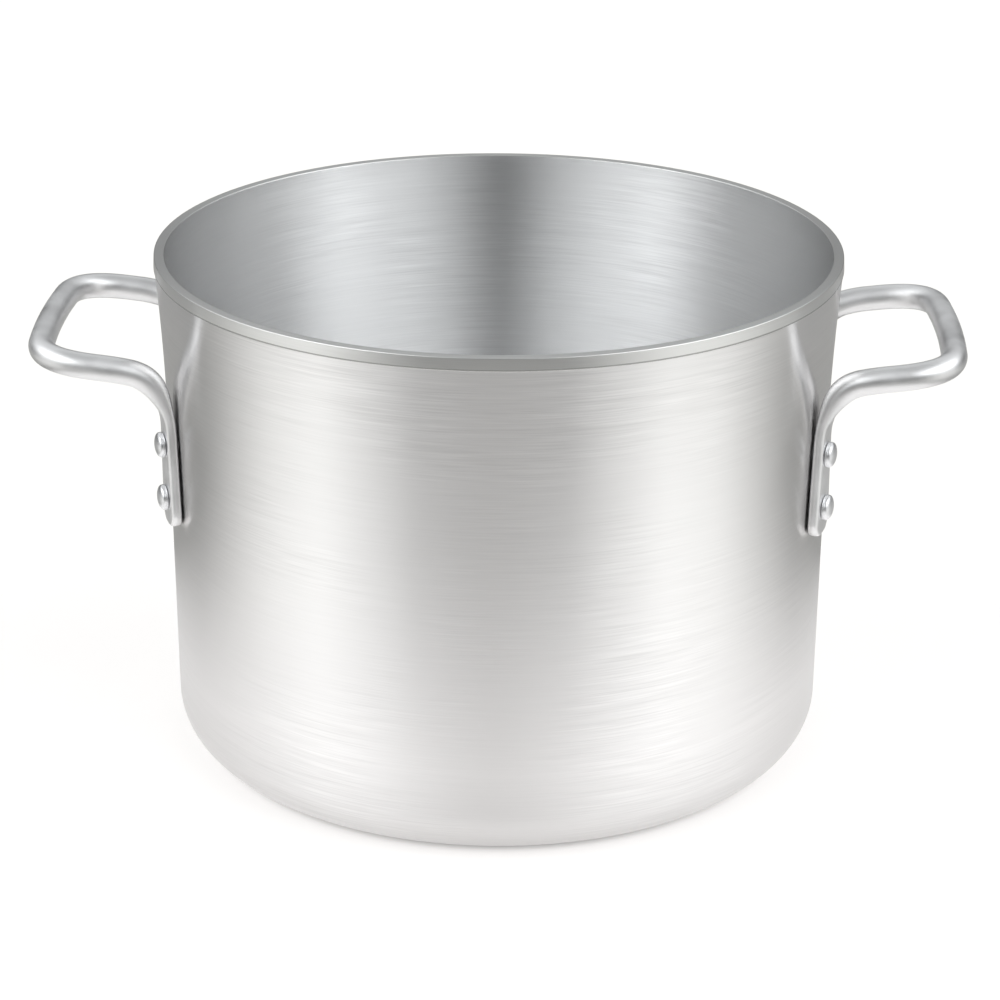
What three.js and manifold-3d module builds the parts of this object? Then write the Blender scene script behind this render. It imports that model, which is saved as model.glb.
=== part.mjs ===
// Aluminium stock pot: a thick spun body and two rod loop handles, each held by four rivets.
// Millimetres, +Z up. The origin is the centre of the base. The handles stand out along X.
import * as THREE from 'three';
import { mergeVertices } from 'three/addons/utils/BufferGeometryUtils.js';
import Module from 'manifold-3d';

const wasm = await Module();
wasm.setup();

// ---------------------------------------------------------------- driving dimensions
const POT_HEIGHT = 260;
const RIM_RADIUS = 172.5;          // outside of the band around the mouth
const RIM_INNER_RADIUS = 167;
const RIM_BAND_HEIGHT = 6.2;
const RIM_EDGE_ROUND = 0.8;
const BAND_STEP = 0.4;             // how far the band stands out from the wall below it
const WALL_BASE_RADIUS = 167.0;    // outside of the wall where the base corner ends
const WALL_TAPER_RADIUS = 168.1;   // outside of the wall where the flare to the mouth begins
const FLARE_START_HEIGHT = 165;
const WALL_THICKNESS = 4;          // it thickens toward the rim above the start of the flare
const BASE_THICKNESS = 5;
const CORNER_RADIUS = 25;          // rounded turn from wall to base
const LATHE_SEGMENTS = 60;
const BASE_CORNER_STEPS = 7;
const FLARE_STEPS = 4;

const ROD_DIAMETER = 13;
const LEG_OFFSET = 63;             // leg centre line to the handle's centre plane
const LEG_START = 185;             // where the straight leg meets the bend to the wall
const LEG_START_HEIGHT = 213.1;
const ELBOW_HEIGHT = 207.9;        // where the leg's line meets the line of the paddle
const ELBOW_CLEARANCE = 0.7;       // how far the elbow stands off the wall beyond the rod's radius
const LOOP_CORNER_REACH = 224.4;     // where leg and grip lines cross
const LOOP_CORNER_HEIGHT = 217.8;
const GRIP_BOW = 3.8;              // how far the middle of the grip stands beyond its ends
const LEG_ROUND = 28;              // tangent lengths of the loop's outer corners
const GRIP_ROUND = 26;
const CROWN_ROUND = 31.5;          // tangent length of the slow bend in the middle of the grip
const TURN_ROUND = 6;              // tangent length where the leg turns toward the paddle
const KNEE_ROUND = 5;              // tangent length where the paddle leaves the wall
const SWEEP_STEPS = 76;
const ROD_SIDES = 14;

const PADDLE_OFFSET = 58;          // paddle centre line to the handle's centre plane
const PADDLE_BOTTOM = 130.5;
const PADDLE_TOP = 185;            // above this the flattened end swells back to the rod
const PADDLE_WIDTH = 22;           // at its foot; it narrows evenly up to the rod
const PADDLE_WIDEST_HEIGHT = 138;
const PADDLE_THICKNESS = 5.6;
const PADDLE_CORNER = 8;           // radius of the paddle's two lower corners
const PADDLE_CORNER_STEPS = 5;
const ROD_FULL_HEIGHT = 210;       // the rod is fully round above this height

const RIVET_HEIGHTS = { upper: 173, lower: 145 };
const RIVET_HEAD_DIAMETER = 12.8;
const RIVET_HEAD_HEIGHT = 4.3;
const RIVET_HEAD_SKIRT = 1.5;      // straight side of the head below its dome
const RIVET_SHANK_DIAMETER = 6.4;
const RIVET_INNER_HEAD_DIAMETER = 13;
const RIVET_INNER_HEAD_HEIGHT = 1.6;
const RIVET_INNER_HEAD_CHAMFER = 1.3;
const RIVET_SIDES = 12;
const RIVET_DOME_STEPS = 3;
const CUTTER_REACH = 30;           // how far a cutter runs to each side of the paddle

const GAP = 0.3;                   // air kept between pieces that touch
const ALUMINIUM = { color: 0xc9cbc9, metalness: 1 };
const BODY_ROUGHNESS = 0.34;
const HANDLE_ROUGHNESS = 0.3;
const RIVET_ROUGHNESS = 0.36;

// ---------------------------------------------------------------- solids
function toManifold(geometry) {
  const bare = geometry.index ? geometry.toNonIndexed() : geometry.clone();
  bare.deleteAttribute('normal');
  bare.deleteAttribute('uv');
  const merged = mergeVertices(bare, 1e-4);
  return new wasm.Manifold(new wasm.Mesh({
    numProp: 3,
    vertProperties: new Float32Array(merged.attributes.position.array),
    triVerts: new Uint32Array(merged.index.array),
  }));
}

function toGeometry(solid) {
  const { vertProperties, triVerts } = solid.getMesh();
  const geometry = new THREE.BufferGeometry();
  geometry.setAttribute('position', new THREE.BufferAttribute(vertProperties, 3));
  geometry.setIndex(new THREE.BufferAttribute(triVerts, 1));
  geometry.computeVertexNormals();
  return geometry;
}

function named(name, geometry, roughness) {
  const mesh = new THREE.Mesh(geometry, new THREE.MeshStandardMaterial({ ...ALUMINIUM, roughness }));
  mesh.name = name;
  return mesh;
}

// Points of an arc from one angle to another, both in degrees.
function arcPoints(centreX, centreY, radius, from, to, steps) {
  const points = [];
  for (let i = 0; i <= steps; i += 1) {
    const angle = THREE.MathUtils.degToRad(from + ((to - from) * i) / steps);
    points.push(new THREE.Vector2(
      centreX + radius * Math.cos(angle),
      centreY + radius * Math.sin(angle),
    ));
  }
  return points;
}

// A profile of (radius, height) points turned about the Z axis.
function turned(profile, segments) {
  return new THREE.LatheGeometry(profile, segments).rotateX(Math.PI / 2);
}

// ---------------------------------------------------------------- pot body
const FLARE_TOP_HEIGHT = POT_HEIGHT - RIM_BAND_HEIGHT;
const FLARE_TOP_RADIUS = RIM_RADIUS - BAND_STEP;

// Share of the flare reached at a height: 0 below it, rising ever faster to 1 at the rim band.
function flareShare(height) {
  const along = Math.max(0, height - FLARE_START_HEIGHT) / (FLARE_TOP_HEIGHT - FLARE_START_HEIGHT);
  return along ** 2;
}

// Outside radius of the wall: a straight taper, then a flare that steepens to the mouth.
function wallRadius(height) {
  const taper = (WALL_TAPER_RADIUS - WALL_BASE_RADIUS) / (FLARE_START_HEIGHT - CORNER_RADIUS);
  const straight = WALL_BASE_RADIUS + taper * (height - CORNER_RADIUS);
  const straightAtTop = WALL_BASE_RADIUS + taper * (FLARE_TOP_HEIGHT - CORNER_RADIUS);
  return straight + (FLARE_TOP_RADIUS - straightAtTop) * flareShare(height);
}

// Inside radius of the wall, which runs into the inside of the rim without a step.
function innerWallRadius(height) {
  const rimThickness = FLARE_TOP_RADIUS - RIM_INNER_RADIUS;
  return wallRadius(height) - THREE.MathUtils.lerp(WALL_THICKNESS, rimThickness, flareShare(height));
}

function potProfile() {
  const outerCorner = arcPoints(
    WALL_BASE_RADIUS - CORNER_RADIUS, CORNER_RADIUS, CORNER_RADIUS, -90, 0, BASE_CORNER_STEPS,
  );
  const innerRound = CORNER_RADIUS - BASE_THICKNESS;
  const innerCorner = arcPoints(
    WALL_BASE_RADIUS - WALL_THICKNESS - innerRound, CORNER_RADIUS, innerRound, 0, -90, BASE_CORNER_STEPS,
  );
  const flareHeights = [];
  for (let i = 0; i <= FLARE_STEPS; i += 1) {
    flareHeights.push(THREE.MathUtils.lerp(FLARE_START_HEIGHT, FLARE_TOP_HEIGHT, i / FLARE_STEPS));
  }
  const outerFlare = flareHeights.map((z) => new THREE.Vector2(wallRadius(z), z));
  const innerFlare = flareHeights.map((z) => new THREE.Vector2(innerWallRadius(z), z)).reverse();
  const rim = [
    new THREE.Vector2(RIM_RADIUS, FLARE_TOP_HEIGHT),
    new THREE.Vector2(RIM_RADIUS, POT_HEIGHT - RIM_EDGE_ROUND),
    new THREE.Vector2(RIM_RADIUS - RIM_EDGE_ROUND, POT_HEIGHT),
    new THREE.Vector2(RIM_INNER_RADIUS + RIM_EDGE_ROUND, POT_HEIGHT),
    new THREE.Vector2(RIM_INNER_RADIUS, POT_HEIGHT - RIM_EDGE_ROUND),
  ];
  return [
    new THREE.Vector2(0, 0),
    ...outerCorner,
    ...outerFlare,
    ...rim,
    ...innerFlare,
    ...innerCorner,
    new THREE.Vector2(0, BASE_THICKNESS),
  ];
}

// ---------------------------------------------------------------- handle
// The handle is drawn on the +X side. SIDE_SIGNS names its two legs, front toward -Y.
const ROD_RADIUS = ROD_DIAMETER / 2;
const SIDE_SIGNS = { front: -1, rear: 1 };

// Azimuth of the paddle on the wall, measured from +X toward +Y.
function paddleAngle(sideSign) {
  return sideSign * Math.asin(PADDLE_OFFSET / (wallRadius(PADDLE_TOP) + PADDLE_THICKNESS / 2));
}

// How far the end is pressed flat at a height: 1 on the paddle, 0 on the round rod.
function flatness(height) {
  return 1 - THREE.MathUtils.smoothstep(height, PADDLE_TOP, ROD_FULL_HEIGHT);
}

// Half thickness of the pressed rod at a height.
function halfThickness(height) {
  return THREE.MathUtils.lerp(ROD_RADIUS, PADDLE_THICKNESS / 2, flatness(height));
}

// Half width of the pressed rod at a height.
function halfWidth(height) {
  const share = THREE.MathUtils.clamp(
    (ROD_FULL_HEIGHT - height) / (ROD_FULL_HEIGHT - PADDLE_WIDEST_HEIGHT), 0, 1,
  );
  return THREE.MathUtils.lerp(ROD_RADIUS, PADDLE_WIDTH / 2, share);
}

// A point of the pressed end's centre line, which lies against the wall.
function onWall(sideSign, height, thickness = PADDLE_THICKNESS / 2) {
  const angle = paddleAngle(sideSign);
  const low = wallRadius(PADDLE_BOTTOM);
  const slope = (wallRadius(PADDLE_TOP) - low) / (PADDLE_TOP - PADDLE_BOTTOM);
  const radius = low + slope * (height - PADDLE_BOTTOM) + GAP + thickness;
  return new THREE.Vector3(radius * Math.cos(angle), radius * Math.sin(angle), height);
}

function towards(from, to, length) {
  return from.clone().add(to.clone().sub(from).setLength(length));
}

// Line pieces joined by rounded corners. Each corner is [point, tangent in, tangent out].
function roundedPath(start, corners, end) {
  const path = new THREE.CurvePath();
  let at = start;
  corners.forEach(([corner, before, after], i) => {
    const previous = i === 0 ? start : corners[i - 1][0];
    const next = i === corners.length - 1 ? end : corners[i + 1][0];
    const enter = towards(corner, previous, before);
    const leave = towards(corner, next, after);
    path.add(new THREE.LineCurve3(at, enter));
    path.add(new THREE.QuadraticBezierCurve3(enter, corner, leave));
    at = leave;
  });
  path.add(new THREE.LineCurve3(at, end));
  return path;
}

function handlePath() {
  const legRise = (LOOP_CORNER_HEIGHT - LEG_START_HEIGHT) / (LOOP_CORNER_REACH - LEG_START);
  const crownRise = legRise * GRIP_BOW;
  const crown = new THREE.Vector3(LOOP_CORNER_REACH + GRIP_BOW, 0, LOOP_CORNER_HEIGHT + crownRise);
  const legCorners = (s) => {
    const knee = onWall(s, PADDLE_TOP);
    const elbow = onWall(s, ELBOW_HEIGHT, ROD_RADIUS + ELBOW_CLEARANCE);
    const turn = new THREE.Vector3(LEG_START, s * LEG_OFFSET, LEG_START_HEIGHT);
    const outer = new THREE.Vector3(LOOP_CORNER_REACH, s * LEG_OFFSET, LOOP_CORNER_HEIGHT);
    const elbowDrop = elbow.distanceTo(knee) - KNEE_ROUND;
    const elbowRun = elbow.distanceTo(turn) - TURN_ROUND;
    return [
      [knee, KNEE_ROUND, KNEE_ROUND],
      [elbow, elbowDrop, elbowRun],
      [turn, TURN_ROUND, TURN_ROUND],
      [outer, LEG_ROUND, GRIP_ROUND],
    ];
  };
  const backwards = (corners) => corners.map(([at, before, after]) => [at, after, before]).reverse();
  return roundedPath(onWall(SIDE_SIGNS.front, PADDLE_BOTTOM), [
    ...legCorners(SIDE_SIGNS.front),
    [crown, CROWN_ROUND, CROWN_ROUND],
    ...backwards(legCorners(SIDE_SIGNS.rear)),
  ], onWall(SIDE_SIGNS.rear, PADDLE_BOTTOM));
}

// Presses a swept round rod flat toward its two ends: two flat faces with round edges.
function pressEnds(geometry, path) {
  const centres = path.getSpacedPoints(SWEEP_STEPS);
  const positions = geometry.attributes.position;
  const vertex = new THREE.Vector3();
  for (let i = 0; i < positions.count; i += 1) {
    vertex.fromBufferAttribute(positions, i);
    const ring = centres.reduce((best, centre, k) => (
      vertex.distanceTo(centre) < vertex.distanceTo(centres[best]) ? k : best), 0);
    const centre = centres[ring];
    const flat = flatness(centre.z);
    if (flat === 0) continue;
    const tangent = path.getTangent(ring / SWEEP_STEPS);
    const angle = paddleAngle(Math.sign(centre.y));
    const across = new THREE.Vector3(-Math.sin(angle), Math.cos(angle), 0);
    across.addScaledVector(tangent, -across.dot(tangent)).normalize();
    const outward = new THREE.Vector3().crossVectors(across, tangent);
    const offset = vertex.clone().sub(centre).divideScalar(ROD_RADIUS);
    const a = offset.dot(across);
    const b = offset.dot(outward);
    const flatShare = Math.cos((2 * Math.PI) / ROD_SIDES);
    const half = halfThickness(centre.z);
    const edge = Math.sign(a) * (halfWidth(centre.z) - half);
    const squared = THREE.MathUtils.lerp(b, Math.sign(b) * Math.min(1, Math.abs(b) / flatShare), flat);
    vertex.copy(centre).addScaledVector(across, half * a + edge).addScaledVector(outward, half * squared);
    positions.setXYZ(i, vertex.x, vertex.y, vertex.z);
  }
  return geometry;
}

function rodSection() {
  const section = new THREE.Shape();
  for (let i = 0; i < ROD_SIDES; i += 1) {
    const angle = (2 * Math.PI * i) / ROD_SIDES;
    const method = i === 0 ? 'moveTo' : 'lineTo';
    section[method](ROD_RADIUS * Math.cos(angle), ROD_RADIUS * Math.sin(angle));
  }
  return section;
}

// Turns a shape drawn as (across, up) so that it faces outward on the wall at the paddle.
function facePaddle(geometry, sideSign, height) {
  const lean = Math.atan2(
    wallRadius(PADDLE_TOP) - wallRadius(PADDLE_BOTTOM), PADDLE_TOP - PADDLE_BOTTOM,
  );
  const seat = onWall(sideSign, height);
  return geometry
    .rotateX(Math.PI / 2)
    .rotateZ(Math.PI / 2)
    .rotateY(lean)
    .rotateZ(paddleAngle(sideSign))
    .translate(seat.x, seat.y, seat.z);
}

// The waste outside the paddle's rounded lower corners.
function cornerWaste(sideSign) {
  const half = PADDLE_WIDTH / 2 + GAP;
  const waste = new THREE.Shape();
  waste.moveTo(-half - PADDLE_CORNER, PADDLE_CORNER);
  waste.lineTo(-half - PADDLE_CORNER, -PADDLE_CORNER);
  waste.lineTo(half + PADDLE_CORNER, -PADDLE_CORNER);
  waste.lineTo(half + PADDLE_CORNER, PADDLE_CORNER);
  waste.lineTo(half, PADDLE_CORNER);
  waste.absarc(half - PADDLE_CORNER, PADDLE_CORNER, PADDLE_CORNER, 0, -Math.PI / 2, true);
  waste.absarc(PADDLE_CORNER - half, PADDLE_CORNER, PADDLE_CORNER, -Math.PI / 2, -Math.PI, true);
  const block = new THREE.ExtrudeGeometry(waste, {
    depth: PADDLE_THICKNESS + 2 * PADDLE_CORNER,
    bevelEnabled: false,
    curveSegments: PADDLE_CORNER_STEPS,
  });
  block.translate(0, 0, -PADDLE_THICKNESS / 2 - PADDLE_CORNER);
  return toManifold(facePaddle(block, sideSign, PADDLE_BOTTOM));
}

function rivetBore(sideSign, height) {
  const boreRadius = RIVET_SHANK_DIAMETER / 2 + GAP;
  const bore = new THREE.CylinderGeometry(boreRadius, boreRadius, 2 * CUTTER_REACH, RIVET_SIDES);
  return toManifold(facePaddle(bore.rotateX(Math.PI / 2), sideSign, height));
}

// ---------------------------------------------------------------- rivet
// Points of (radius, distance outward) from the middle of the inner head to the top of the dome.
function rivetProfile(wallInside, paddleOutside) {
  const headRadius = RIVET_HEAD_DIAMETER / 2;
  const innerRadius = RIVET_INNER_HEAD_DIAMETER / 2;
  const shank = RIVET_SHANK_DIAMETER / 2;
  const headSeat = paddleOutside + GAP;
  const innerSeat = wallInside - GAP;
  const domeSeat = headSeat + RIVET_HEAD_SKIRT;
  const domeHeight = RIVET_HEAD_HEIGHT - RIVET_HEAD_SKIRT;
  const points = [
    new THREE.Vector2(0, innerSeat - RIVET_INNER_HEAD_HEIGHT),
    new THREE.Vector2(innerRadius - RIVET_INNER_HEAD_CHAMFER, innerSeat - RIVET_INNER_HEAD_HEIGHT),
    new THREE.Vector2(innerRadius, innerSeat - RIVET_INNER_HEAD_HEIGHT + RIVET_INNER_HEAD_CHAMFER),
    new THREE.Vector2(innerRadius, innerSeat),
    new THREE.Vector2(shank, innerSeat),
    new THREE.Vector2(shank, headSeat),
    new THREE.Vector2(headRadius, headSeat),
    new THREE.Vector2(headRadius, domeSeat),
  ];
  for (let i = 1; i <= RIVET_DOME_STEPS; i += 1) {
    const angle = (Math.PI / 2) * (i / RIVET_DOME_STEPS);
    const radius = i === RIVET_DOME_STEPS ? 0 : headRadius * Math.cos(angle);
    points.push(new THREE.Vector2(radius, domeSeat + domeHeight * Math.sin(angle)));
  }
  return points;
}

// The wall curves away from the flat head seats, so each seat clears the wall's tightest point.
function rivetGeometry(sideSign, height) {
  const innerRadius = innerWallRadius(height);
  const headHalf = RIVET_INNER_HEAD_DIAMETER / 2;
  const bulge = innerRadius - Math.sqrt(innerRadius ** 2 - headHalf ** 2);
  const seatRadius = Math.hypot(onWall(sideSign, height).x, onWall(sideSign, height).y);
  const facet = innerRadius * (1 - Math.cos(Math.PI / LATHE_SEGMENTS));
  const wallInside = innerRadius - bulge - facet - seatRadius;
  const profile = rivetProfile(wallInside, PADDLE_THICKNESS / 2);
  return facePaddle(turned(profile, RIVET_SIDES), sideSign, height);
}

// ---------------------------------------------------------------- assembly
function boredFor(solid, bores) {
  return bores.reduce((rest, bore) => rest.subtract(bore), solid);
}

const legSides = Object.values(SIDE_SIGNS);
const rivetLevels = Object.values(RIVET_HEIGHTS);
const rightBores = legSides.flatMap((sideSign) => rivetLevels.map((height) => rivetBore(sideSign, height)));
const leftBores = rightBores.map((bore) => bore.rotate([0, 0, 180]));

const body = boredFor(toManifold(turned(potProfile(), LATHE_SEGMENTS)), [...rightBores, ...leftBores]);

const path = handlePath();
const rod = new THREE.ExtrudeGeometry(rodSection(), {
  steps: SWEEP_STEPS,
  extrudePath: path,
  bevelEnabled: false,
});
const handle = boredFor(toManifold(pressEnds(rod, path)), [...legSides.map(cornerWaste), ...rightBores]);

// One handle with its four rivets, drawn on the +X side and turned about Z to its place.
function handleSide(side, turn) {
  const group = new THREE.Group();
  group.rotation.z = turn;
  group.add(named(`handle_${side}`, toGeometry(handle), HANDLE_ROUGHNESS));
  for (const [legName, sideSign] of Object.entries(SIDE_SIGNS)) {
    for (const [level, height] of Object.entries(RIVET_HEIGHTS)) {
      const localSign = turn === 0 ? sideSign : -sideSign;
      const rivet = toGeometry(toManifold(rivetGeometry(localSign, height)));
      group.add(named(`rivet_${side}_${legName}_${level}`, rivet, RIVET_ROUGHNESS));
    }
  }
  return group;
}

const stockPot = new THREE.Group();
stockPot.add(named('pot_body', toGeometry(body), BODY_ROUGHNESS));
stockPot.add(handleSide('right', 0), handleSide('left', Math.PI));

export default stockPot;
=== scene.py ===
"""Aluminium stock pot with two riveted loop handles, on a pale studio floor."""

import math

import bpy
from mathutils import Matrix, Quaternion, Vector


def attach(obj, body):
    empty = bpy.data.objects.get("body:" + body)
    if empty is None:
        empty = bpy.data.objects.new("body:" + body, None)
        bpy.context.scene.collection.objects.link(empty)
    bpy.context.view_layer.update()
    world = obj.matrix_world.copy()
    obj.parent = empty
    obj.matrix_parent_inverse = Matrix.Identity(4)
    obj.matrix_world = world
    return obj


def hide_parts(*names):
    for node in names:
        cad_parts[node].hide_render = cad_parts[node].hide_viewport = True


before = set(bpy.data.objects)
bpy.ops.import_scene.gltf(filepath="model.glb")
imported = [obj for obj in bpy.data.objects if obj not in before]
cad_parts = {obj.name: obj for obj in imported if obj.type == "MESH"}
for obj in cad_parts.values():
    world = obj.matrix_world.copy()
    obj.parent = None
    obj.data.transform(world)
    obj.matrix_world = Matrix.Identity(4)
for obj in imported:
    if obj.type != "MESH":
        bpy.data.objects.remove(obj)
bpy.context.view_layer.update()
MM = 0.001

# ---------------------------------------------------------------- sizes, in millimetres
POT_HEIGHT = 260.0
RIM_RADIUS = 172.5  # outside of the band round the mouth
RIM_INNER_RADIUS = 167.0
RIM_BAND_HEIGHT = 6.2
RIM_EDGE_ROUND = 0.35
BAND_LEAN = 0.3  # how far the band leans in by its top
BAND_STEP = 0.4  # how far the band stands out from the wall below it
WALL_BASE_RADIUS = 167.0
WALL_TAPER_RADIUS = 168.1  # outside of the wall where the flare to the mouth begins
FLARE_START = 165.0
FLARE_TOP = POT_HEIGHT - RIM_BAND_HEIGHT
WALL_THICKNESS = 4.0
BASE_THICKNESS = 5.0
CORNER_RADIUS = 25.0
BODY_SEGMENTS = 288
WALL_STEPS = 44
CORNER_STEPS = 20
INNER_CORNER_STEPS = 16
EDGE_STEPS = 5
BASE_RINGS = (0, 20, 45, 70, 95, 120)
WALL_TOP_POINTS = (0.5, 0.1)  # below the band
LIP_START = 0.04  # how far the step begins out from the wall
BAND_FOOT = ((0.1, 0.1), (0.0, 0.35), (0.01, 0.8))  # in from the band, and up from the wall's top
BAND_SHARES = (0.3, 0.65, 0.95)
EDGE_SUPPORT = 0.3  # from a rounded edge to the point that keeps its shading tight
WALL_SLOT, RIM_SLOT, INNER_SLOT, LIP_SHADE_SLOT = range(4)

ROD_RADIUS = 6.5
LEG_OFFSET = 63.0  # leg centre line to the handle's centre plane
LEG_START = 185.0  # where the straight leg meets the bend to the wall
LEG_START_HEIGHT = 213.1
ELBOW_HEIGHT = 207.9
ELBOW_CLEARANCE = 0.7
LOOP_REACH = 224.4  # where leg and grip lines cross
LOOP_HEIGHT = 217.8
GRIP_BOW = 3.77  # how far the middle of the grip stands beyond its ends
LEG_ROUND = 28.0  # the rounds are tangent lengths
GRIP_ROUND = 26.0
CROWN_ROUND = 31.5
TURN_ROUND = 6.0
KNEE_ROUND = 5.0
PADDLE_OFFSET = 58.0  # paddle centre line to the handle's centre plane
PADDLE_BOTTOM = 130.5
PADDLE_TOP = 185.0
PADDLE_WIDTH = 22.0
PADDLE_WIDEST = 138.0
PADDLE_THICKNESS = 5.6
PADDLE_CORNER = 8.0
PADDLE_SHOULDER = 0.35  # share of the section's half width in which a flat opens out
FOOT_ROUND = 1.4
FOOT_THINNEST = 0.6  # thickness at the very foot, as a share
ROD_FULL_HEIGHT = 210.0  # the rod is fully round above this height
WALL_GAP = 0.3
ROD_SIDES = 48
FOOT_STEPS = 14
ROD_STEPS = 120
STRAIGHT_STEPS = 19
BEND_STEPS = 24

RIVET_HEIGHTS = {"upper": 173.0, "lower": 145.0}
RIVET_HEAD_RADIUS = 6.4
RIVET_HEAD_HEIGHT = 4.3
RIVET_SKIRT_SHARE = 0.35  # the straight side below the dome
RIVET_EDGE = 0.3
RIVET_DOME_EDGE = 0.2
RIVET_SHANK_RADIUS = 3.2
RIVET_INNER_RADIUS = 6.5
RIVET_INNER_HEIGHT = 1.6
RIVET_SIDES = 40
RIVET_DOME_STEPS = 12
RIVET_INNER_STEPS = 8


# ---------------------------------------------------------------- mesh helpers
def add_mesh(name, verts, faces, material, arc=None):
    """A smooth mesh from millimetre points. arc is a distance per point, kept for the brushed pattern."""
    mesh = bpy.data.meshes.new(name)
    mesh.from_pydata([(x * MM, y * MM, z * MM) for x, y, z in verts], [], faces)
    mesh.polygons.foreach_set("use_smooth", [True] * len(mesh.polygons))
    if arc is not None:
        attribute = mesh.attributes.new("arc", "FLOAT", "POINT")
        attribute.data.foreach_set("value", [a * MM for a in arc])
    mesh.materials.append(material)
    mesh.update()
    obj = bpy.data.objects.new(name, mesh)
    bpy.context.scene.collection.objects.link(obj)
    return obj


def lathe(profile, segments):
    """Verts, faces and arc lengths of (radius, height) points turned about Z. Radius 0 is one point."""
    verts, faces, arc, rings = [], [], [], []
    length = 0.0
    for i, (radius, height) in enumerate(profile):
        if i:
            length += math.dist(profile[i - 1], profile[i])
        count = 1 if radius == 0 else segments
        rings.append((len(verts), count))
        for k in range(count):
            angle = 2 * math.pi * k / segments
            verts.append((radius * math.cos(angle), radius * math.sin(angle), height))
            arc.append(length)
    for (a, na), (b, nb) in zip(rings, rings[1:]):
        for k in range(segments):
            n = (k + 1) % segments
            if na == 1:
                faces.append((a, b + n, b + k))
            elif nb == 1:
                faces.append((a + k, a + n, b))
            else:
                faces.append((a + k, a + n, b + n, b + k))
    return verts, faces, arc


def arc_points(cx, cy, radius, start, end, steps):
    """Points of an arc, angles in degrees."""
    out = []
    for i in range(steps + 1):
        angle = math.radians(start + (end - start) * i / steps)
        out.append((cx + radius * math.cos(angle), cy + radius * math.sin(angle)))
    return out


def smoothstep(value, low, high):
    t = min(1.0, max(0.0, (value - low) / (high - low)))
    return t * t * (3 - 2 * t)


def mix(a, b, t):
    return a + (b - a) * t


# ---------------------------------------------------------------- pot body
def flare_share(height):
    return (max(0.0, height - FLARE_START) / (FLARE_TOP - FLARE_START)) ** 2


def wall_radius(height):
    taper = (WALL_TAPER_RADIUS - WALL_BASE_RADIUS) / (FLARE_START - CORNER_RADIUS)
    straight = WALL_BASE_RADIUS + taper * (height - CORNER_RADIUS)
    top = WALL_BASE_RADIUS + taper * (FLARE_TOP - CORNER_RADIUS)
    return straight + (RIM_RADIUS - BAND_STEP - top) * flare_share(height)


def inner_wall_radius(height):
    rim_thickness = RIM_RADIUS - BAND_STEP - RIM_INNER_RADIUS
    return wall_radius(height) - mix(WALL_THICKNESS, rim_thickness, flare_share(height))


def outer_profile(heights):
    """From the base's centre out and up to the band. Close points at the top keep the shading even."""
    points = [(radius, 0.0) for radius in BASE_RINGS]
    points += arc_points(WALL_BASE_RADIUS - CORNER_RADIUS, CORNER_RADIUS, CORNER_RADIUS, -90, 0, CORNER_STEPS)
    heights = heights[:-1] + [FLARE_TOP - below for below in WALL_TOP_POINTS]
    points += [(wall_radius(z), z) for z in heights]
    points.append((wall_radius(FLARE_TOP) + LIP_START, FLARE_TOP))
    return points


def rim_profile():
    """Up the band, over the flat top and down to the mouth. A point stands close to each rounded edge."""
    edge = RIM_EDGE_ROUND
    points = [(RIM_RADIUS - inset, FLARE_TOP + rise) for inset, rise in BAND_FOOT]
    foot, low = points[-1]
    head, high = RIM_RADIUS - BAND_LEAN, POT_HEIGHT - edge
    points += [(mix(foot, head, t), mix(low, high, t)) for t in BAND_SHARES]
    points += arc_points(head - edge, high, edge, 0, 90, EDGE_STEPS)
    points += [(head - edge - EDGE_SUPPORT, POT_HEIGHT), (RIM_INNER_RADIUS + edge + EDGE_SUPPORT, POT_HEIGHT)]
    points += arc_points(RIM_INNER_RADIUS + edge, high, edge, 90, 180, EDGE_STEPS)
    points.append((RIM_INNER_RADIUS, high - EDGE_SUPPORT))
    return points


def inner_profile(heights):
    """Down the inside of the wall, round the corner and in to the centre."""
    corner = CORNER_RADIUS - BASE_THICKNESS
    centre = WALL_BASE_RADIUS - WALL_THICKNESS - corner
    points = [(inner_wall_radius(z), z) for z in reversed(heights)]
    points += arc_points(centre, CORNER_RADIUS, corner, 0, -90, INNER_CORNER_STEPS)
    points += [(radius, BASE_THICKNESS) for radius in reversed(BASE_RINGS)]
    return points


def body_slot(ring, rim_start, inner_start):
    """The material of a ring of faces. The step under the band is darker than the metal round it: painted
    shade for the crevice under the band.
    """
    if abs(ring - rim_start) <= 1:
        return LIP_SHADE_SLOT
    if ring >= inner_start:
        return INNER_SLOT
    return RIM_SLOT if ring >= rim_start else WALL_SLOT


def pot_body(metals):
    """The body, from the metals of its wall, rim, inside and lip, in the order of the slots. The lip's metal
    is painted shade.
    """
    heights = [mix(CORNER_RADIUS, FLARE_TOP, i / WALL_STEPS) for i in range(1, WALL_STEPS + 1)]
    outer, rim = outer_profile(heights), rim_profile()
    verts, faces, arc = lathe(outer + rim + inner_profile(heights), BODY_SEGMENTS)
    body = add_mesh("pot_body_fine", verts, faces, metals[WALL_SLOT], arc)
    for metal in metals[RIM_SLOT:]:
        body.data.materials.append(metal)
    rim_start, inner_start = len(outer), len(outer) + len(rim) - 2
    for face in body.data.polygons:
        face.material_index = body_slot(face.index // BODY_SEGMENTS, rim_start, inner_start)
    return body


# ---------------------------------------------------------------- handle
def paddle_angle(side):
    return side * math.asin(PADDLE_OFFSET / (wall_radius(PADDLE_TOP) + PADDLE_THICKNESS / 2))


def wall_line(height):
    """The straight line up the wall that a paddle's flat back follows."""
    low = wall_radius(PADDLE_BOTTOM)
    slope = (wall_radius(PADDLE_TOP) - low) / (PADDLE_TOP - PADDLE_BOTTOM)
    return low + slope * (height - PADDLE_BOTTOM)


def on_wall(side, height, thickness=PADDLE_THICKNESS / 2):
    radius = wall_line(height) + WALL_GAP + thickness
    angle = paddle_angle(side)
    return Vector((radius * math.cos(angle), radius * math.sin(angle), height))


def towards(start, end, length):
    return start + (end - start).normalized() * length


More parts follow.
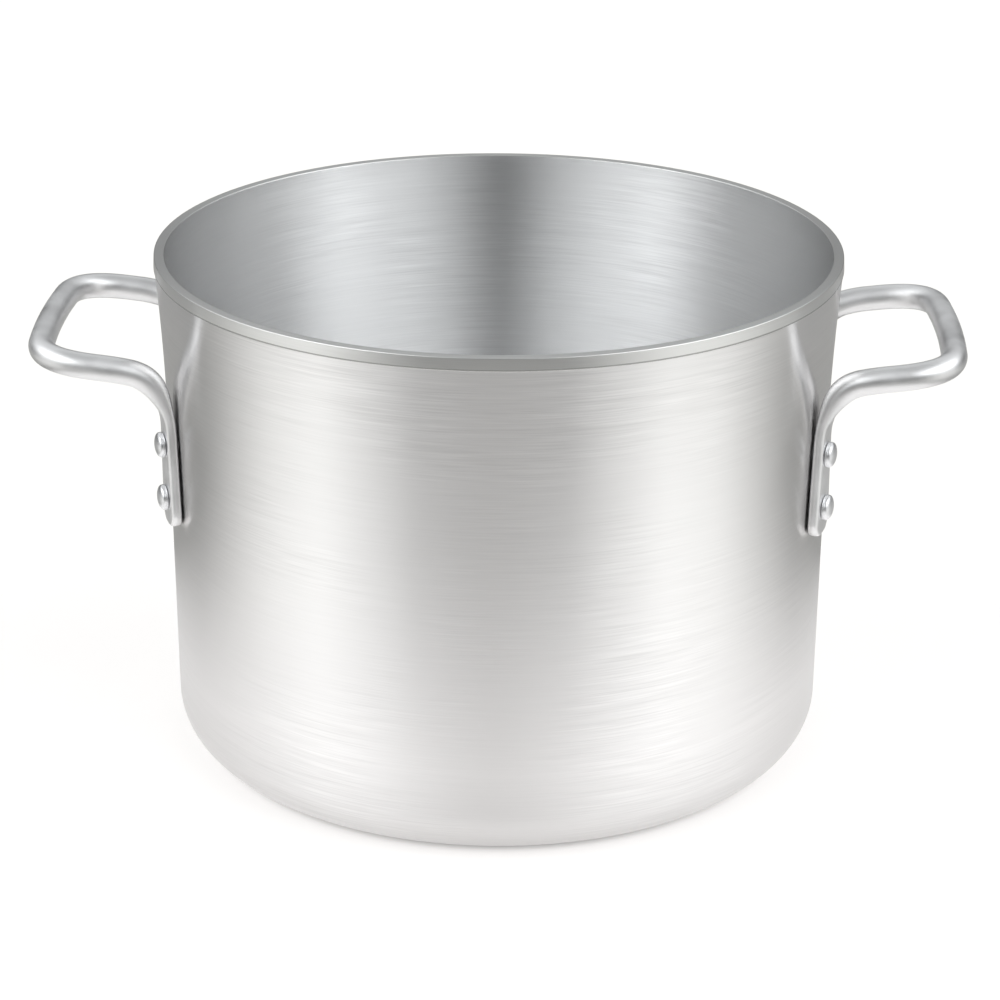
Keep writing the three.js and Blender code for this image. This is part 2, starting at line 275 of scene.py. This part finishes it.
def handle_corners():
    """Each bend of the half handle: its corner, and how far before and after it the bend runs."""
    rise = (LOOP_HEIGHT - LEG_START_HEIGHT) / (LOOP_REACH - LEG_START)
    knee = on_wall(-1, PADDLE_TOP)
    elbow = on_wall(-1, ELBOW_HEIGHT, ROD_RADIUS + ELBOW_CLEARANCE)
    turn = Vector((LEG_START, -LEG_OFFSET, LEG_START_HEIGHT))
    outer = Vector((LOOP_REACH, -LEG_OFFSET, LOOP_HEIGHT))
    crown = Vector((LOOP_REACH + GRIP_BOW, 0, LOOP_HEIGHT + rise * GRIP_BOW))
    return [
        (knee, KNEE_ROUND, KNEE_ROUND),
        (elbow, (elbow - knee).length - KNEE_ROUND, (elbow - turn).length - TURN_ROUND),
        (turn, TURN_ROUND, TURN_ROUND),
        (outer, LEG_ROUND, GRIP_ROUND),
        (crown, CROWN_ROUND, CROWN_ROUND),
    ]


def handle_line():
    """The handle's centre line from the front paddle's foot to the crown of the grip."""
    corners = handle_corners()
    points = [on_wall(-1, PADDLE_BOTTOM)]
    far = Vector((LOOP_REACH, LEG_OFFSET, LOOP_HEIGHT))
    ends = [points[0]] + [corner for corner, _, _ in corners] + [far]
    for i, (corner, before, after) in enumerate(corners):
        enter = towards(corner, ends[i], before)
        leave = towards(corner, ends[i + 2], after)
        start = points[-1]
        points += [start.lerp(enter, k / STRAIGHT_STEPS) for k in range(1, STRAIGHT_STEPS + 1)]
        for k in range(1, BEND_STEPS + 1):
            t = k / BEND_STEPS
            points.append(enter * (1 - t) ** 2 + corner * 2 * t * (1 - t) + leave * t * t)
    half = [p for p in points if p.y <= 1e-6]
    if abs(half[-1].y) > 1e-6:
        half.append(Vector((half[-1].x, 0, half[-1].z)))
    return half


def resample(points, stops):
    """Points at the given distances along a polyline."""
    out, travelled, i = [], 0.0, 0
    for stop in stops:
        while i < len(points) - 2 and travelled + (points[i + 1] - points[i]).length < stop:
            travelled += (points[i + 1] - points[i]).length
            i += 1
        step = points[i + 1] - points[i]
        out.append(points[i] + step * min(1.0, (stop - travelled) / max(step.length, 1e-9)))
    return out


def rod_section(height, from_foot):
    """Half the rod's thickness and half its width at this height, from_foot along it from the nearer foot."""
    pressed = 1 - smoothstep(height, PADDLE_TOP, ROD_FULL_HEIGHT)
    spread = min(1.0, max(0.0, (ROD_FULL_HEIGHT - height) / (ROD_FULL_HEIGHT - PADDLE_WIDEST)))
    thick = mix(ROD_RADIUS, PADDLE_THICKNESS / 2, pressed)
    wide = mix(ROD_RADIUS, PADDLE_WIDTH / 2, spread)
    if from_foot < PADDLE_CORNER:
        wide += math.sqrt(PADDLE_CORNER**2 - (PADDLE_CORNER - from_foot) ** 2) - PADDLE_CORNER
        edge = min(1.0, from_foot / FOOT_ROUND)
        thick *= mix(FOOT_THINNEST, 1.0, math.sqrt(1 - (1 - edge) ** 2))
    return thick, wide


def handle_mesh():
    """The +X handle: a round rod whose two ends are pressed into paddles against the wall."""
    line = handle_line()
    length = sum((b - a).length for a, b in zip(line, line[1:]))
    run = [PADDLE_CORNER * (1 - math.cos(math.pi / 2 * k / FOOT_STEPS)) for k in range(FOOT_STEPS + 1)]
    run += [mix(run[-1], length, k / ROD_STEPS) for k in range(1, ROD_STEPS + 1)]
    half = resample(line, run)
    line = half + [Vector((p.x, -p.y, p.z)) for p in reversed(half[:-1])]
    run += [2 * length - s for s in reversed(run[:-1])]
    verts, faces, arc = [], [], []
    for i, centre in enumerate(line):
        tangent = (line[min(i + 1, len(line) - 1)] - line[max(i - 1, 0)]).normalized()
        flat = Vector((tangent.x, tangent.y, 0)).normalized()
        across = Vector((-flat.y, flat.x, 0))
        outward = across.cross(tangent)
        thick, wide = rod_section(centre.z, min(run[i], 2 * length - run[i]))
        for k in range(ROD_SIDES):
            angle = 2 * math.pi * k / ROD_SIDES
            a, b = math.cos(angle), math.sin(angle)
            side = max(-1.0, min(1.0, a / PADDLE_SHOULDER)) * max(0.0, wide - thick)
            verts.append(centre + across * (thick * a + side) + outward * (thick * b))
            arc.append(run[i])
    for i in range(len(line) - 1):
        a, b = i * ROD_SIDES, (i + 1) * ROD_SIDES
        for k in range(ROD_SIDES):
            n = (k + 1) % ROD_SIDES
            faces.append((a + k, b + k, b + n, a + n))
    faces.append(tuple(range(ROD_SIDES)))
    faces.append(tuple((len(line) - 1) * ROD_SIDES + k for k in reversed(range(ROD_SIDES))))
    return verts, faces, arc


# ---------------------------------------------------------------- rivet
def rivet_profile(inside):
    """(radius, distance out) points from the inner head's crown to the outer head's. inside is its seat."""
    head = PADDLE_THICKNESS / 2 + WALL_GAP
    skirt = RIVET_SKIRT_SHARE * RIVET_HEAD_HEIGHT
    dome = RIVET_HEAD_HEIGHT - skirt
    profile = [(0.0, inside - RIVET_INNER_HEIGHT)]
    for k in range(1, RIVET_INNER_STEPS + 1):
        t = math.pi / 2 * k / RIVET_INNER_STEPS
        profile.append((RIVET_INNER_RADIUS * math.sin(t), inside - RIVET_INNER_HEIGHT * math.cos(t)))
    profile += [(RIVET_SHANK_RADIUS, inside), (RIVET_SHANK_RADIUS, head)]
    profile += [(RIVET_HEAD_RADIUS - RIVET_EDGE, head), (RIVET_HEAD_RADIUS, head + RIVET_EDGE)]
    profile.append((RIVET_HEAD_RADIUS, head + skirt - RIVET_DOME_EDGE))
    for k in range(1, RIVET_DOME_STEPS):
        t = math.pi / 2 * k / RIVET_DOME_STEPS
        profile.append((RIVET_HEAD_RADIUS * math.cos(t), head + skirt + dome * math.sin(t)))
    profile.append((0.0, head + RIVET_HEAD_HEIGHT))
    return profile


def rivet_mesh(side, height):
    """One rivet on the +X side: a head outside the paddle, a head inside the pot and a shank between."""
    seat = on_wall(side, height)
    angle = paddle_angle(side)
    lean = math.atan2(wall_radius(PADDLE_TOP) - wall_radius(PADDLE_BOTTOM), PADDLE_TOP - PADDLE_BOTTOM)
    inner_wall = inner_wall_radius(height)
    bulge = inner_wall - math.sqrt(inner_wall**2 - RIVET_INNER_RADIUS**2)
    inside = inner_wall - bulge - WALL_GAP - math.hypot(seat.x, seat.y)
    verts, faces, arc = lathe(rivet_profile(inside), RIVET_SIDES)
    placed = []
    for across, up, out in verts:
        # the profile's axis points outward, leans with the wall, then swings to its place
        out, up = out * math.cos(lean) + up * math.sin(lean), up * math.cos(lean) - out * math.sin(lean)
        placed.append((
            seat.x + out * math.cos(angle) - across * math.sin(angle),
            seat.y + out * math.sin(angle) + across * math.cos(angle),
            seat.z + up,
        ))
    return placed, faces, arc


# ---------------------------------------------------------------- node helpers
class Nodes:
    """A node tree, with short ways to add to it. A value is a number, a tuple or another node's output."""

    def __init__(self, tree):
        self.tree = tree

    def add(self, kind, **settings):
        made = self.tree.nodes.new(kind)
        for name, value in settings.items():
            setattr(made, name, value)
        return made

    def feed(self, socket, value):
        if isinstance(value, bpy.types.NodeSocket):
            self.tree.links.new(value, socket)
        else:
            socket.default_value = value

    def maths(self, operation, *values):
        made = self.add("ShaderNodeMath", operation=operation)
        for socket, value in zip(made.inputs, values):
            self.feed(socket, value)
        return made.outputs[0]

    def vector(self, operation, *values):
        made = self.add("ShaderNodeVectorMath", operation=operation)
        for socket, value in zip(made.inputs, values):
            self.feed(socket, value)
        return made.outputs[0]

    def scaled(self, vector, by):
        made = self.add("ShaderNodeVectorMath", operation="SCALE")
        self.feed(made.inputs[0], vector)
        self.feed(made.inputs["Scale"], by)
        return made.outputs[0]

    def ranged(self, source, start, end, low=0.0, high=1.0, curve="LINEAR"):
        """low where source is under start, high where it is over end, and blended between."""
        made = self.add("ShaderNodeMapRange", interpolation_type=curve)
        sockets = {"Value": source, "From Min": start, "From Max": end, "To Min": low, "To Max": high}
        for name, value in sockets.items():
            self.feed(made.inputs[name], value)
        return made.outputs["Result"]

    def blend(self, share, a, b):
        made = self.add("ShaderNodeMix")
        for name, value in (("Factor", share), ("A", a), ("B", b)):
            self.feed(made.inputs[name], value)
        return made.outputs["Result"]

    def noise(self, where, scale, detail, roughness=0.5):
        made = self.add("ShaderNodeTexNoise")
        sockets = {"Vector": where, "Scale": scale, "Detail": detail, "Roughness": roughness}
        for name, value in sockets.items():
            self.feed(made.inputs[name], value)
        return made.outputs["Fac"]

    def object_position(self):
        return self.add("ShaderNodeTexCoord").outputs["Object"]

    def relief(self, height, strength, depth):
        made = self.add("ShaderNodeBump")
        for name, value in (("Height", height), ("Strength", strength), ("Distance", depth)):
            self.feed(made.inputs[name], value)
        return made.outputs["Normal"]


def new_material(name):
    material = bpy.data.materials.new(name)
    material.use_nodes = True
    return material, Nodes(material.node_tree), material.node_tree.nodes["Principled BSDF"]


# ---------------------------------------------------------------- brushed metal
# Noise drawn out round the pot: scale round it, scale along its profile per metre, detail, seed.
FINE_LINES = (5.0, 2600.0, 2.0, 3.1)
MID_LINES = (4.0, 1150.0, 2.0, 41.9)
COARSE_LINES = (3.0, 420.0, 3.0, 11.7)
LINE_PATCHES = (2.2, 16.0, 2.0, 27.3)
LINE_NOISE_ROUGHNESS = 0.55
LINE_TINT = 0.32  # how much a line lightens or darkens the metal
LINE_ROUGHNESS = 0.22
SMOOTHEST = 0.285  # no line is smoother than this, so none stands out from the lines beside it
BRUSHED_RELIEF = 0.5
BRUSHED_DEPTH = 0.000012
COARSE_HEIGHT = 1.5
LINE_SHARES = (0.5, 0.5, 0.25)  # of the fine, mid and coarse lines
# Ranges: where each starts and ends, and the level before and after.
PATCH_GAIN = (0.38, 0.62, 0.25, 1.3)
# These three run from the pot's front and back (0) to its handle sides (1).
GAIN_BESIDE = (0.6, 0.85, 1.0, 0.35)
RELIEF_BESIDE = (0.5, 0.85, 1.0, 0.25)
FINISH_START, FINISH_END = 0.6, 0.92
# painted shade: how the metal darkens where the wall turns under towards the floor
UNDERSIDE_SHADE = (0.154, 0.204, 0.76, 1.0)  # in metres along the profile from the base's centre


def drawn_lines(nodes, around, arc, lines):
    round_scale, profile_scale, detail, seed = lines
    point = nodes.add("ShaderNodeCombineXYZ")
    sources = (("X", around["X"], round_scale), ("Y", around["Y"], round_scale), ("Z", arc, profile_scale))
    for axis, source, scale in sources:
        nodes.feed(point.inputs[axis], nodes.maths("MULTIPLY_ADD", source, scale, seed))
    return nodes.noise(point.outputs[0], 1.0, detail, LINE_NOISE_ROUGHNESS)


def brushed(name, base, rough, anisotropy, line_gain, depth=BRUSHED_DEPTH, side_finish=1.0):
    """Lathe-brushed aluminium. The lines run round the pot, so reflections are drawn out across them.
    side_finish scales the roughness beside the handles."""
    material, nodes, shader = new_material(name)
    shader.inputs["Metallic"].default_value = 1.0
    shader.inputs["Anisotropic"].default_value = anisotropy
    shader.inputs["Anisotropic Rotation"].default_value = 0.25
    tangent = nodes.add("ShaderNodeTangent", direction_type="RADIAL", axis="Z")
    nodes.feed(shader.inputs["Tangent"], tangent.outputs["Tangent"])

    # direction from the pot's axis, and distance along its profile
    direction = nodes.vector("NORMALIZE", nodes.vector("MULTIPLY", nodes.object_position(), (1, 1, 0)))
    split = nodes.add("ShaderNodeSeparateXYZ")
    nodes.feed(split.inputs[0], direction)
    around = split.outputs
    arc = nodes.add("ShaderNodeAttribute", attribute_name="arc").outputs["Fac"]
    fine = drawn_lines(nodes, around, arc, FINE_LINES)
    mid = drawn_lines(nodes, around, arc, MID_LINES)
    coarse = drawn_lines(nodes, around, arc, COARSE_LINES)
    patch = drawn_lines(nodes, around, arc, LINE_PATCHES)

    # lines show most in patches, and least beside the handles
    beside = nodes.maths("ABSOLUTE", around["X"])
    gain = nodes.maths("MULTIPLY", nodes.ranged(patch, *PATCH_GAIN), line_gain)
    gain = nodes.maths("MULTIPLY", gain, nodes.ranged(beside, *GAIN_BESIDE))
    weave = 0.0
    for lines, share in zip((fine, mid, coarse), LINE_SHARES):
        weave = nodes.maths("MULTIPLY_ADD", nodes.maths("SUBTRACT", lines, 0.5), share, weave)
    line = nodes.maths("MULTIPLY", weave, gain)

    # painted shade: the metal is darkened where the wall turns under towards the floor
    underside_shade = nodes.ranged(arc, *UNDERSIDE_SHADE)
    shade = nodes.maths("MULTIPLY_ADD", line, LINE_TINT, 1.0)
    shade = nodes.maths("MULTIPLY", shade, underside_shade)
    nodes.feed(shader.inputs["Base Color"], nodes.scaled(base, shade))
    finish = nodes.maths("MULTIPLY", nodes.ranged(beside, FINISH_START, FINISH_END, 1.0, side_finish), rough)
    finish = nodes.maths("ADD", finish, nodes.maths("MULTIPLY", line, LINE_ROUGHNESS))
    nodes.feed(shader.inputs["Roughness"], nodes.maths("MAXIMUM", finish, SMOOTHEST))
    height = nodes.maths("MULTIPLY_ADD", coarse, COARSE_HEIGHT, mid)
    height = nodes.maths("MULTIPLY", height, nodes.ranged(beside, *RELIEF_BESIDE))
    nodes.feed(shader.inputs["Normal"], nodes.relief(height, BRUSHED_RELIEF, depth))
    return material


# ---------------------------------------------------------------- satin metal
CLOUD_SCALE = 55.0
CLOUD_DETAIL = 4.0
CLOUD_ROUGHNESS = 0.07
CLOUD_TONE = 0.05
MARK_SCALE = 900.0
MARK_DETAIL = 3.0
MARK_ROUGHNESS = 0.03
MARK_STRETCH = (0.35, 1, 1)
NOISE_LOW, NOISE_HIGH = 0.3, 0.7
SATIN_RELIEF = 0.4
SATIN_DEPTH = 0.000004


def satin(name, base, rough):
    """Smooth satin aluminium with faint tool marks and cloudy handling wear."""
    material, nodes, shader = new_material(name)
    shader.inputs["Metallic"].default_value = 1.0
    where = nodes.object_position()
    cloud = nodes.noise(where, CLOUD_SCALE, CLOUD_DETAIL)
    marks = nodes.noise(nodes.vector("MULTIPLY", where, MARK_STRETCH), MARK_SCALE, MARK_DETAIL)

    def around(source, middle, reach):
        return nodes.ranged(source, NOISE_LOW, NOISE_HIGH, middle - reach, middle + reach)

    nodes.feed(shader.inputs["Base Color"], nodes.scaled(base, around(cloud, 1.0, CLOUD_TONE)))
    finish = nodes.maths("ADD", around(cloud, rough, CLOUD_ROUGHNESS), around(marks, 0.0, MARK_ROUGHNESS))
    nodes.feed(shader.inputs["Roughness"], finish)
    nodes.feed(shader.inputs["Normal"], nodes.relief(marks, SATIN_RELIEF, SATIN_DEPTH))
    return material


# ---------------------------------------------------------------- the object
def build_body():
    body = pot_body([
        brushed("wall_metal", (0.885, 0.875, 0.87), 0.31, 1.0, 1.25, 0.000009, 0.8),
        brushed("rim_metal", (0.8, 0.8, 0.79), 0.31, 0.7, 0.5),
        brushed("inner_metal", (0.89, 0.892, 0.894), 0.31, 1.0, 1.2),
        # painted shade: a dark metal on the step under the band stands for the shade in its crevice
        brushed("lip_painted_shade", (0.44, 0.44, 0.43), 0.5, 0.5, 0.5),
    ])
    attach(body, "root")
    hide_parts("pot_body")


def build_handles():
    rod_metal = satin("rod_metal", (0.85, 0.85, 0.855), 0.42)
    rivet_metal = satin("rivet_metal", (0.86, 0.865, 0.88), 0.38)
    verts, faces, arc = handle_mesh()
    for side_name, sign in (("right", 1), ("left", -1)):
        # the left handle is the right one turned half round
        placed = [(sign * p[0], sign * p[1], p[2]) for p in verts]
        handle = add_mesh(f"handle_{side_name}_fine", placed, faces, rod_metal, arc)
        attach(handle, "root")
        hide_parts(f"handle_{side_name}")
        for leg_name, leg in (("front", -1), ("rear", 1)):
            for level, height in RIVET_HEIGHTS.items():
                heads, head_faces, head_arc = rivet_mesh(leg * sign, height)
                heads = [(sign * x, sign * y, z) for x, y, z in heads]
                name = f"rivet_{side_name}_{leg_name}_{level}"
                rivet = add_mesh(f"{name}_fine", heads, head_faces, rivet_metal, head_arc)
                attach(rivet, "root")
                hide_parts(name)


# ---------------------------------------------------------------- floor
FLOOR_RADIUS = 365.0
FLOOR_FORWARD = 75.0
FLOOR_DROP = 0.2
FLOOR_SEGMENTS = 96
FLOOR_BASE = (0.51, 0.5, 0.495, 1)
FLOOR_GLOW = (1, 0.985, 0.975, 1)
FLOOR_ROUGHNESS = 0.9
GLOW_NEAR, GLOW_FAR = 0.1, 0.58  # strength under the pot, and beyond the ring of shade at its foot
SHADE_START, SHADE_END = 0.143, 0.156  # in metres from the pot's axis


def build_floor():
    """A pale disc that glows a little, except close under the pot, where the weaker glow is a painted shadow.
    """
    material, nodes, shader = new_material("floor_pale")
    shader.inputs["Base Color"].default_value = FLOOR_BASE
    shader.inputs["Emission Color"].default_value = FLOOR_GLOW
    shader.inputs["Roughness"].default_value = FLOOR_ROUGHNESS
    reach = nodes.add("ShaderNodeVectorMath", operation="LENGTH")
    nodes.feed(reach.inputs[0], nodes.object_position())
    strength = nodes.ranged(
        reach.outputs["Value"], SHADE_START, SHADE_END, GLOW_NEAR, GLOW_FAR, curve="SMOOTHSTEP"
    )
    nodes.feed(shader.inputs["Emission Strength"], strength)
    points, faces, _ = lathe([(FLOOR_RADIUS, -FLOOR_DROP), (0.0, -FLOOR_DROP)], FLOOR_SEGMENTS)
    floor = add_mesh("floor", [(x, y - FLOOR_FORWARD, z) for x, y, z in points], faces, material)


# ---------------------------------------------------------------- studio light
# Light level round the pot: each band is (elevation, levels at LIGHT_AZIMUTHS), both in degrees.
# Azimuth 0 is the side the camera stands on, positive to the right.
# The levels began as the output of a least-squares fit to the photo's brightness. Some were later changed,
# and the rest are still the fit's.
LIGHT_AZIMUTHS = (-180, -150, -122, -103, -80, -60, -40, -25, -12, 0, 12, 25, 40, 60, 80, 103, 122, 150)
LIGHT_BANDS = (
    (-60, (0.00,)),
    (-20, (0.50, 0.46, 0.42, 0.70, 1.10, 1.14, 0.62, 0.38, 0.46,
           0.52, 0.46, 0.38, 0.68, 1.08, 1.05, 0.70, 0.46, 0.46)),
    (8, (0.00, 0.00, 0.00, 0.00, 0.33, 0.64, 0.36, 0.04, 0.02,
         0.00, 0.02, 0.00, 0.24, 0.64, 0.60, 0.26, 0.00, 0.00)),
    (35, (0.80, 1.00, 1.15, 2.29, 3.22, 3.78, 3.10, 1.76, 0.51,
          0.00, 0.55, 1.72, 3.00, 3.82, 3.52, 2.75, 1.30, 1.00)),
    (65, (0.45,)),
)
BACKDROP_LEVEL = 1.05
LOW_TINT, LOW_TINT_ELEVATION = (1.0, 1.0, 0.972, 1), -15
HIGH_TINT, HIGH_TINT_ELEVATION = (0.975, 0.992, 1.0, 1), 20


def band_level(nodes, turn, levels):
    """Light level of one band, blended evenly between its azimuths. turn runs from 0 to 1."""
    if len(levels) == 1:
        return levels[0]
    ramp = nodes.add("ShaderNodeValToRGB")
    stops = list(zip(LIGHT_AZIMUTHS, levels)) + [(180, levels[0])]
    top = max(levels)
    elements = ramp.color_ramp.elements
    while len(elements) < len(stops):
        elements.new(0.5)
    for element, (angle, value) in zip(elements, stops):
        element.position = (angle + 180) / 360
        element.color = (value / top, value / top, value / top, 1)
    nodes.feed(ramp.inputs[0], turn)
    return nodes.maths("MULTIPLY", ramp.outputs[0], top)


def build_light():
    world = bpy.data.worlds.new("studio")
    bpy.context.scene.world = world
    world.use_nodes = True
    world.node_tree.nodes.clear()
    nodes = Nodes(world.node_tree)
    world_out = nodes.add("ShaderNodeOutputWorld")
    glow = nodes.add("ShaderNodeBackground")
    nodes.feed(world_out.inputs[0], glow.outputs[0])
    split = nodes.add("ShaderNodeSeparateXYZ")
    nodes.feed(split.inputs[0], nodes.add("ShaderNodeTexCoord").outputs["Generated"])
    east, north, up = split.outputs

    turn = nodes.maths("ARCTAN2", east, nodes.maths("MULTIPLY", north, -1.0))
    turn = nodes.maths("ADD", nodes.maths("DIVIDE", turn, 2 * math.pi), 0.5)
    elevation = nodes.maths("DEGREES", nodes.maths("ARCSINE", up))
    level = band_level(nodes, turn, LIGHT_BANDS[0][1])
    for (low, _), (high, levels) in zip(LIGHT_BANDS, LIGHT_BANDS[1:]):
        level = nodes.blend(nodes.ranged(elevation, low, high), level, band_level(nodes, turn, levels))

    # the camera sees a plain pale backdrop instead of the lights
    seen = nodes.add("ShaderNodeLightPath").outputs["Is Camera Ray"]
    nodes.feed(glow.inputs["Strength"], nodes.blend(seen, level, BACKDROP_LEVEL))
    tint = nodes.add("ShaderNodeMix", data_type="RGBA")
    nodes.feed(tint.inputs["Factor"], nodes.ranged(elevation, LOW_TINT_ELEVATION, HIGH_TINT_ELEVATION))
    colour_a, colour_b = tint.inputs[6], tint.inputs[7]
    nodes.feed(colour_a, LOW_TINT)
    nodes.feed(colour_b, HIGH_TINT)
    nodes.feed(glow.inputs["Color"], tint.outputs[2])


# ---------------------------------------------------------------- camera
CAMERA_DISTANCE = 1555.8
CAMERA_ELEVATION = 22.02
CAMERA_AZIMUTH = 1.6
CAMERA_ROLL = 0.28
CAMERA_LENS = 108.0
CAMERA_SENSOR = 36
CAMERA_REACH = 50  # in metres
TARGET_HEIGHT = 122.1
SIDE_SHIFT = 2.3 / 1000


def build_camera():
    data = bpy.data.cameras.new("camera")
    data.sensor_width = CAMERA_SENSOR
    data.lens = CAMERA_LENS
    data.shift_x = SIDE_SHIFT
    data.clip_end = CAMERA_REACH
    camera = bpy.data.objects.new("camera", data)
    bpy.context.scene.collection.objects.link(camera)
    elevation, swing = math.radians(CAMERA_ELEVATION), math.radians(CAMERA_AZIMUTH)
    away = CAMERA_DISTANCE * math.cos(elevation)
    above = CAMERA_DISTANCE * math.sin(elevation)
    place = Vector((away * math.sin(swing), -away * math.cos(swing), TARGET_HEIGHT + above))
    camera.location = place * MM
    aim = (Vector((0, 0, TARGET_HEIGHT * MM)) - camera.location).to_track_quat("-Z", "Y")
    camera.rotation_mode = "QUATERNION"
    camera.rotation_quaternion = aim @ Quaternion((0, 0, 1), math.radians(CAMERA_ROLL))
    bpy.context.scene.camera = camera
    bpy.context.scene.view_settings.view_transform = "Standard"
    bpy.context.scene.view_settings.look = "None"


# ---------------------------------------------------------------- build the scene
build_body()
build_handles()
build_floor()
build_light()
build_camera()
